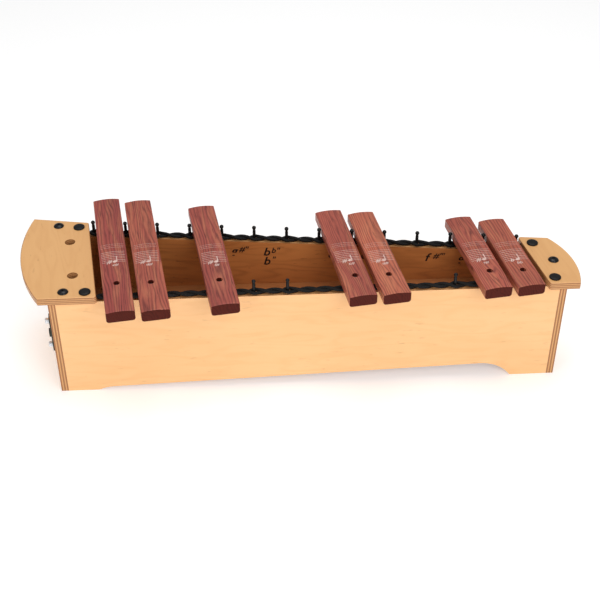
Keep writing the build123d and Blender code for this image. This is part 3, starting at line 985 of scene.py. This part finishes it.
@dataclass
class Sleeves:
    """Rubber sleeves over the pins of one row, each with a round knob on a narrow neck.

    Attributes:
        row: the pins.
        knob: radius of the knob.
        body: radius of the sleeve below it.
        neck: radius just under the knob.
        collar: radius of the foot that stands on the rail.
    """

    row: PinRow
    knob: float
    body: float = 1.8 * MM
    neck: float = 1.45 * MM
    collar: float = 2.3 * MM

    def build(self) -> bpy.types.Object:
        """Turns one sleeve and copies it to every pin."""
        height = self.row.top - self.row.foot
        centre = height - self.knob
        lean = math.asin(self.neck / self.knob)
        knob = [
            (self.knob * math.sin(angle), centre + self.knob * math.cos(angle))
            for angle in (math.pi - lean - i * (math.pi - lean) / 10 for i in range(10))
        ]
        tip = (self.knob * 0.12, height)
        under = centre - self.knob * math.cos(lean)
        stem = [
            (self.collar, 0.0),
            (self.collar, 0.6 * MM),
            (self.body * 1.08, 1.2 * MM),
            (self.body, 2.2 * MM),
            (self.body, under - 2.4 * MM),
            (self.neck * 1.06, under - 0.9 * MM),
        ]
        source = Turning([*stem, *knob, tip]).build("sleeve")
        piece = join(f"{self.row.sleeves}_rubber", copies(source, upright(self.row.feet())))
        BLACK_RUBBER.dress(piece)
        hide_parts(self.row.sleeves)
        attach(piece, BOX_BODY)
        PIN_STEEL.dress(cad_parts[self.row.pins])
        return piece


@dataclass
class TwistedCord:
    """A cord of two twisted strands laid along a rail, parted by every pin.

    Attributes:
        row: the pins that part it.
        nodes: the CAD nodes that it stands for.
        strand: radius of one strand.
        spread: how far each strand swings sideways between pins.
        lift: how far each strand swings up and down.
        parting: how far each strand stands aside at a pin.
        parting_reach: how far along the rail a pin still parts them.
        points: points along each turn.
    """

    row: PinRow
    nodes: tuple[str, str]
    strand: float = 1.9 * MM
    spread: float = 2.0 * MM
    lift: float = 1.2 * MM
    parting: float = 3.7 * MM
    parting_reach: float = 4.2 * MM
    points: int = 28

    def build(self) -> list[bpy.types.Object]:
        """Lays both strands."""
        return [self.lay(node, side) for node, side in zip(self.nodes, (-1.0, 1.0))]

    def lay(self, node: str, side: float) -> bpy.types.Object:
        """Makes one strand.

        Args:
            node: the CAD node that it stands for.
            side: -1 for the strand nearer the player at the pins, 1 for the other.

        Returns:
            The strand as a mesh.
        """
        low, high = node_box(node)
        first, last = self.places_at(low.x), self.places_at(high.x)
        count = round((last - first) * self.points)
        route = [self.centre(first + (last - first) * i / count, side) for i in range(count + 1)]
        curve = bpy.data.curves.new(node, "CURVE")
        curve.dimensions = "3D"
        curve.bevel_depth = self.strand
        curve.bevel_resolution = 4
        curve.use_fill_caps = True
        spline = curve.splines.new("POLY")
        spline.points.add(len(route) - 1)
        for spot, place in zip(spline.points, route):
            spot.co = (*place, 1.0)
        item = bpy.data.objects.new(node, curve)
        bpy.context.scene.collection.objects.link(item)
        select_only(item)
        bpy.ops.object.convert(target="MESH")
        piece = name_piece(bpy.context.object, f"{node}_twisted")
        self.map_strand(piece, side)
        smooth(piece, 60.0)
        BLACK_CORD.dress(piece)
        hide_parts(node)
        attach(piece, BOX_BODY)
        return piece

    def places_at(self, x: float) -> float:
        """The place along the row, in pitches, at a distance along X."""
        return self.row.places[0] + (x - self.row.ends[0].x) / self.row.step.x

    def centre(self, place: float, side: float) -> Vector:
        """The strand's centre at a place along the row."""
        turn = math.tau * place
        nearest = min(abs(place - pin) for pin in self.row.places)
        parted = math.exp(-((nearest * self.row.step.length / self.parting_reach) ** 2))
        aside = side * math.cos(turn) * (self.spread + (self.parting - self.spread) * parted)
        rise = side * math.sin(turn) * self.lift
        across = Vector((-self.row.step.y, self.row.step.x, 0)).normalized()
        height = self.row.foot + self.strand + self.lift
        return self.row.point(place, height + rise) + across * aside

    def map_strand(self, piece: bpy.types.Object, side: float) -> None:
        """Gives the strand a map: metres along it, and its turn round it from 0 to 1."""
        layer = piece.data.uv_layers.new(name="strand")
        direction = self.row.step.normalized()
        origin = self.row.ends[0]
        for polygon in piece.data.polygons:
            turns = []
            for loop in polygon.loop_indices:
                point = piece.data.vertices[piece.data.loops[loop].vertex_index].co
                along = (point - origin).dot(direction)
                centre = self.centre(self.row.places[0] + along / self.row.step.length, side)
                offset = point - centre
                across = offset.dot(Vector((-direction.y, direction.x, 0)))
                turns.append((loop, along, math.atan2(offset.z, across) / math.tau + 0.5))
            seam = max(turn for *_, turn in turns) - min(turn for *_, turn in turns) > 0.5
            for loop, along, turn in turns:
                layer.data[loop].uv = (along, turn + 1.0 if seam and turn < 0.5 else turn)


@dataclass
class HandleScrews:
    """Domed black screws with a cross recess.

    Attributes:
        node: the CAD node they stand for.
        radius: of the head.
        dome: height of the head.
        shank: radius of the shank.
        slot: width of each arm of the recess.
        turns: how far each screw is turned, in radians, front first.
    """

    node: str
    radius: float = 6.0 * MM
    dome: float = 3.0 * MM
    shank: float = 2.0 * MM
    slot: float = 1.25 * MM
    turns: tuple[float, float] = (0.35, -0.2)

    def build(self) -> bpy.types.Object:
        """Turns one screw, cuts its recess and copies it to each hole."""
        low, high = node_box(self.node)
        seat = high.z - self.dome
        source = Turning(self.rings(low.z - seat), sides=32).build("screw")
        self.cut_recess(source)
        places = [
            Matrix.Translation(point) @ Matrix.Rotation(turn, 4, "Z")
            for point, turn in zip(self.points(seat), self.turns)
        ]
        piece = join(f"{self.node}_black", copies(source, places))
        BLACK_SCREW.dress(piece)
        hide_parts(self.node)
        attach(piece, BOX_BODY)
        return piece

    def rings(self, tip: float) -> list[tuple[float, float]]:
        """The screw's outline, from its tip up to the middle of its dome."""
        arc = [
            (self.radius * math.cos(angle), self.dome * math.sin(angle))
            for angle in (math.pi / 2 * i / 9 for i in range(9))
        ]
        return [
            (0.3 * MM, tip),
            (self.shank, tip + 2 * self.shank),
            (self.shank, 0.0),
            (self.radius * 0.97, 0.0),
            (self.radius, 0.25 * MM),
            *[(r, max(z, 0.3 * MM)) for r, z in arc[1:]],
            (0.2 * MM, self.dome),
        ]

    def cut_recess(self, source: bpy.types.Object) -> None:
        """Cuts a cross recess that narrows downwards."""
        blades = []
        for turn in (0.0, math.pi / 2):
            select_only()
            bpy.ops.mesh.primitive_cube_add(size=1, location=(0, 0, self.dome))
            blade = bpy.context.object
            blade.scale = (self.radius * 1.05, self.slot, self.dome * 1.3)
            settle(blade)
            for vertex in blade.data.vertices:
                if vertex.co.z < self.dome:
                    vertex.co.x *= 0.45
                    vertex.co.y *= 0.6
            blade.data.transform(Matrix.Rotation(turn, 4, "Z"))
            blades.append(blade)
        for blade in blades:
            apply_modifier(source, "BOOLEAN", operation="DIFFERENCE", object=blade, solver="EXACT")
            bpy.data.objects.remove(blade)
        smooth(source, 30.0)

    def points(self, seat: float) -> list[Vector]:
        """Where the heads sit: at the ends of the node's box, or at its middle for a single screw."""
        low, high = node_box(self.node)
        if high.y - low.y < 3 * self.radius:
            middle = (low + high) / 2
            return [Vector((middle.x, middle.y, seat))]
        x = (low.x + high.x) / 2
        return [Vector((x, low.y + self.radius, seat)), Vector((x, high.y - self.radius, seat))]


@dataclass
class Buttons:
    """Round rubber buttons pushed into a handle plate.

    Attributes:
        node: the CAD node they stand for.
        radius: of the head.
        height: of the head.
        stem: radius of the stem.
    """

    node: str
    radius: float = 6.5 * MM
    height: float = 2.6 * MM
    stem: float = 3.0 * MM

    def build(self) -> bpy.types.Object:
        """Turns one button and copies it to the two corners of the node's box, front first."""
        low, high = node_box(self.node)
        seat = high.z - self.height
        rim = 0.9 * MM
        bend = [
            (self.radius - rim + rim * math.cos(a), self.height * 0.72 - rim + rim * math.sin(a))
            for a in (math.pi / 2 * i / 5 for i in range(6))
        ]
        crown = [
            (self.radius * share, self.height * (1 - 0.28 * share**2))
            for share in (0.74, 0.6, 0.44, 0.28, 0.12)
        ]
        rings = [
            (self.stem * 0.9, low.z - seat),
            (self.stem, low.z - seat + 0.6 * MM),
            (self.stem, 0.0),
            (self.radius - 0.25 * MM, 0.0),
            (self.radius, 0.3 * MM),
            *bend,
            *crown,
            (0.02 * MM, self.height),
        ]
        source = Turning(rings, sides=32).build("button")
        points = [
            Vector((low.x + self.radius, low.y + self.radius, seat)),
            Vector((high.x - self.radius, high.y - self.radius, seat)),
        ]
        piece = join(f"{self.node}_rubber", copies(source, upright(points)))
        BLACK_RUBBER.dress(piece)
        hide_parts(self.node)
        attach(piece, BOX_BODY)
        return piece


@dataclass
class Coupling:
    """The small plate on the left end with its bright screws."""

    def dress(self) -> None:
        """Finishes the plate and its screws."""
        COUPLING_PLASTIC.dress(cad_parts["coupling_plate"])
        BRIGHT_SCREW.dress(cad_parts["coupling_screws"])


@dataclass
class SoundBar:
    """One wooden bar with its printed staff, note and name.

    Attributes:
        node: the bar's CAD node, which is also the name of its body.
        label: the note's name.
        shade: how far its wood leans from red towards tan.
        number: the bar's place among the bars, which moves its figure.
        staff_share: from the pin's hole back to the middle of the staff, as a share of the bar.
        staff_width: width of the staff.
        staff_gap: from one of its lines to the next.
        staff_lines: how many lines it has.
        upper_lines: how many finer lines stand beyond it.
        upper_gap: from the middle of the staff to the first of them.
        line: breadth of a line.
        note_shift: from the staff's middle to the note's head, across the bar and along it.
        head_radii: half of the head's length and of its breadth.
        head_turn: how far the head is turned, in radians.
        stem_size: the stem's breadth and length.
        sign_size: size of the sign before the note.
        sign_shift: from the staff's middle to the sign.
        name_size: size of the name.
        name_shift: from the staff's middle to the name.
        ink_height: how far the ink stands above the wood.
    """

    node: str
    label: str
    shade: float
    number: int
    staff_share: float = 0.225
    staff_width: float = 26.0 * MM
    staff_gap: float = 3.3 * MM
    staff_lines: int = 7
    upper_lines: int = 3
    upper_gap: float = 18.5 * MM
    line: float = 0.42 * MM
    note_shift: tuple[float, float] = (1.5 * MM, -9.9 * MM)
    head_radii: tuple[float, float] = (2.7 * MM, 2.0 * MM)
    head_turn: float = 0.35
    stem_size: tuple[float, float] = (1.1 * MM, 10.4 * MM)
    sign_size: float = 9.0 * MM
    sign_shift: tuple[float, float] = (-5.5 * MM, -12.5 * MM)
    name_size: float = 6.4 * MM
    name_shift: tuple[float, float] = (1.0 * MM, -18.2 * MM)
    ink_height: float = 0.08 * MM

    def build(self) -> bpy.types.Object:
        """Gives the bar its own rosewood and its printing."""
        low, high = node_box(self.node)
        Rosewood(
            f"rosewood_{self.node}",
            middle=tuple((low + high) / 2),
            seed=self.number * 7.3,
            lines=330.0 - 40.0 * (self.number % 3),
            wander=7.0 + 3.0 * (self.number % 2),
            light=blend_colours(RED_WOOD, TAN_WOOD, self.shade),
        ).dress(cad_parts[self.node])
        return self.add_print()

    @property
    def staff_middle(self) -> Vector:
        """Above the middle of the printed staff, clear of the wood."""
        low, high = node_box(self.node)
        x = (low.x + high.x) / 2
        place = FRONT_ROW.places[0] + (x - FRONT_ROW.ends[0].x) / FRONT_ROW.step.x
        hole = FRONT_ROW.point(place, high.z)
        return Vector((x, hole.y + self.staff_share * (high.y - low.y), high.z + 2 * MM))

    def add_print(self) -> bpy.types.Object:
        """Prints ruled lines, a note with its sign, and its name, and lays them on the crowned wood."""
        parts = [self.rule(i - (self.staff_lines - 1) / 2, self.line) for i in range(self.staff_lines)]
        upper = self.upper_gap / self.staff_gap
        parts += [self.rule(upper + i, self.line * 0.45) for i in range(self.upper_lines)]
        parts += self.note()
        parts.append(self.word(self.label, self.name_size, self.name_shift))
        item = join(f"{self.node}_print", parts)
        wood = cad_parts[self.node]
        apply_modifier(
            item,
            "SHRINKWRAP",
            target=wood,
            wrap_method="PROJECT",
            use_project_z=True,
            use_negative_direction=True,
            use_positive_direction=False,
            offset=self.ink_height,
        )
        apply_modifier(item, "SOLIDIFY", thickness=self.ink_height * 0.8, offset=-1.0)
        PALE_INK.dress(item)
        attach(item, self.node)
        return item

    def rule(self, row: float, line: float) -> bpy.types.Object:
        """One ruled line across the bar, cut into short lengths so that it can follow the crown."""
        middle = self.staff_middle + Vector((0, row * self.staff_gap, 0))
        select_only()
        bpy.ops.mesh.primitive_grid_add(x_subdivisions=14, y_subdivisions=1, size=1.0, location=middle)
        item = bpy.context.object
        item.scale = (self.staff_width, line, 1.0)
        return settle(item)

    def note(self) -> list[bpy.types.Object]:
        """A filled note on its stem, with a sharp or flat sign before it."""
        middle = self.staff_middle + Vector((*self.note_shift, 0))
        select_only()
        bpy.ops.mesh.primitive_circle_add(vertices=20, radius=1.0, fill_type="NGON", location=middle)
        head = bpy.context.object
        head.scale = (*self.head_radii, 1.0)
        head.rotation_euler = (0.0, 0.0, self.head_turn)
        settle(head)
        select_only()
        stem_middle = middle + Vector((self.head_radii[1], self.stem_size[1] / 2, 0))
        bpy.ops.mesh.primitive_plane_add(size=1.0, location=stem_middle)
        stem = bpy.context.object
        stem.scale = (*self.stem_size, 1.0)
        settle(stem)
        sign = "#" if "#" in self.label else "b"
        return [head, stem, self.word(sign, self.sign_size, self.sign_shift)]

    def word(self, text: str, size: float, shift: tuple[float, float]) -> bpy.types.Object:
        """Letters on the staff's plane, centred at a shift from its middle."""
        item = lettering(text, size, 0.0)
        item.data.transform(Matrix.Translation(self.staff_middle + Vector((*shift, 0))))
        return item


def lettering(text: str, size: float, depth: float, align: str = "CENTER") -> bpy.types.Object:
    """Slanted letters as a mesh at the origin, facing +Z.

    Args:
        text: what they say.
        size: the letters' size.
        depth: half of their thickness.
        align: how they stand about the origin along X.

    Returns:
        The letters.
    """
    select_only()
    bpy.ops.object.text_add()
    words = bpy.context.object
    words.data.body = text
    words.data.size = size
    words.data.shear = 0.28
    words.data.offset = size * 0.02
    words.data.extrude = depth
    words.data.align_x = align
    words.data.resolution_u = 3
    bpy.ops.object.convert(target="MESH")
    return bpy.context.object


@dataclass
class PitchNames:
    """Note names printed on the inner face of the rear rail, one under each bar's place.

    Attributes:
        names: the names from the top down, for each place.
        size: of the letters.
        top_drop: from the rail's top edge down to the first name's line.
        row_drop: from one name to the next below it.
        rail_thickness: the rail's thickness.
        letter_shift: from a place's middle along the rail to the letter, in letter sizes.
        raised_shift: the same to the raised marks behind the letter.
        raise_by: how far those stand above the letter's line, in letter sizes.
        raised_share: their size as a share of the letter's.
        second_octave: the first place whose names have one mark more.
        ink: half the thickness of the ink.
    """

    names: dict[int, tuple[str, ...]] = field(
        default_factory=lambda: {
            0: ("c#",),
            1: ("d#",),
            3: ("f#",),
            4: ("g#",),
            5: ("bb", "b"),
            7: ("c#",),
            8: ("d#",),
            10: ("f#",),
            11: ("g#",),
            12: ("bb", "b"),
        }
    )
    size: float = 15.5 * MM
    top_drop: float = 18.0 * MM
    row_drop: float = 13.0 * MM
    rail_thickness: float = 10.0 * MM
    letter_shift: float = -0.55
    raised_shift: float = 0.06
    raise_by: float = 0.26
    raised_share: float = 0.68
    second_octave: int = 7
    ink: float = 0.12 * MM

    def build(self) -> bpy.types.Object:
        """Prints every name and joins them into one piece."""
        letters = []
        for place, rows in self.names.items():
            for row, name in enumerate(rows):
                raised = name[1:] + "'" * (2 if place < self.second_octave else 3)
                letters.append(self.print_at(place, row, name[0], self.letter_shift, 0.0, 1.0))
                letters.append(
                    self.print_at(
                        place, row, raised, self.raised_shift, self.raise_by, self.raised_share
                    )
                )
        piece = join("pitch_names", letters)
        BLACK_INK.dress(piece)
        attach(piece, BOX_BODY)
        return piece

    def print_at(
        self, place: int, row: int, text: str, right: float, up: float, share: float
    ) -> bpy.types.Object:
        """Letters upright on the rail's inner face.

        Args:
            place: the bar's place.
            row: the line, from the top.
            text: the letters.
            right: shift along the rail, in letter sizes.
            up: shift upwards, in letter sizes.
            share: the letters' size as a share of the full size.

        Returns:
            The letters in their place.
        """
        item = lettering(text, self.size * share, self.ink, "LEFT")
        along = REAR_ROW.step.normalized()
        inward = Vector((along.y, -along.x, 0))
        height = REAR_ROW.foot - self.top_drop - row * self.row_drop + up * self.size
        line = REAR_ROW.point(place + 0.5, height)
        at = line + inward * (self.rail_thickness / 2) + along * (right * self.size)
        turn = Matrix((along, Vector((0, 0, 1)), inward)).transposed().to_4x4()
        item.data.transform(Matrix.Translation(at) @ turn)
        return item


# ------------------------------------------------------------------------------------------ studio


@dataclass
class Studio:
    """A pale floor, soft lights and the camera.

    Attributes:
        eye: where the camera stands.
        azimuth: how far the camera looks to the right of straight ahead, in degrees.
        elevation: how far it looks down, in degrees.
        lens: focal length for a 36 mm sensor.
    """

    eye: Axis = (-0.2044, -1.0352, 0.8510)
    azimuth: float = 11.585
    elevation: float = 36.76
    lens: float = 66.98

    def build(self) -> None:
        """Sets up the floor, the lights, the surroundings and the camera."""
        self.add_floor()
        self.add_light("key", (0.5, -2.2, 1.5), 1.5, 24.5)
        self.add_light("fill", (-1.7, -1.2, 1.3), 1.3, 9.0)
        self.add_light("top", (0.1, 0.2, 2.4), 1.6, 22.0)
        self.add_surroundings()
        self.add_camera()

    def add_floor(self) -> None:
        """A wide plain floor."""
        select_only()
        bpy.ops.mesh.primitive_plane_add(size=8.0)
        floor = name_piece(bpy.context.object, "studio_floor")
        material = bpy.data.materials.new("studio_floor")
        material.use_nodes = True
        shader = material.node_tree.nodes["Principled BSDF"]
        shader.inputs["Base Color"].default_value = (0.9, 0.9, 0.9, 1.0)
        shader.inputs["Roughness"].default_value = 0.9
        shader.inputs["Emission Color"].default_value = (1.0, 1.0, 1.0, 1.0)
        shader.inputs["Emission Strength"].default_value = 0.32
        floor.data.materials.append(material)

    def add_light(self, name: str, place: Axis, size: float, power: float) -> None:
        """A square soft light aimed at the object."""
        data = bpy.data.lights.new(name, "AREA")
        data.size = size
        data.energy = power
        lamp = bpy.data.objects.new(name, data)
        lamp.location = place
        lamp.rotation_euler = (Vector((0, 0, 0.08)) - Vector(place)).to_track_quat("-Z", "Y").to_euler()
        bpy.context.scene.collection.objects.link(lamp)

    def add_surroundings(self) -> None:
        """An even white surround."""
        world = bpy.data.worlds.new("surround")
        world.use_nodes = True
        background = world.node_tree.nodes["Background"]
        background.inputs["Color"].default_value = (1.0, 1.0, 1.0, 1.0)
        background.inputs["Strength"].default_value = 0.36
        bpy.context.scene.world = world

    def add_camera(self) -> None:
        """The camera, upright, at its eye."""
        data = bpy.data.cameras.new("camera")
        data.sensor_width = 36.0
        data.lens = self.lens
        camera = bpy.data.objects.new("camera", data)
        camera.location = self.eye
        camera.rotation_euler = (
            math.radians(90.0 - self.elevation),
            0.0,
            math.radians(-self.azimuth),
        )
        bpy.context.scene.collection.objects.link(camera)
        bpy.context.scene.camera = camera
        bpy.context.scene.view_settings.view_transform = "Standard"


def main() -> None:
    """Builds the sub-assemblies in order, then the studio."""
    logging.basicConfig(level=logging.INFO, format="%(message)s")
    Studio().build()
    Resonator().dress()
    for row, knob in ((REAR_ROW, 2.4 * MM), (FRONT_ROW, 2.2 * MM)):
        LOG.info("sleeves: %s", Sleeves(row, knob).build().name)
    for row, rail in ((REAR_ROW, "rear"), (FRONT_ROW, "front")):
        cord = TwistedCord(row, (f"{rail}_cord_near_strand", f"{rail}_cord_far_strand"))
        LOG.info("cord: %s", [strand.name for strand in cord.build()])
    for node in ("left_handle_screws", "right_handle_screw"):
        LOG.info("screws: %s", HandleScrews(node).build().name)
    for node in ("left_handle_buttons", "right_handle_buttons"):
        LOG.info("buttons: %s", Buttons(node).build().name)
    Coupling().dress()
    for number, (node, (label, shade)) in enumerate(BARS.items()):
        LOG.info("bar: %s", SoundBar(node, label, shade, number).build().name)
    LOG.info("names: %s", PitchNames().build().name)


if __name__ == "__main__":
    main()
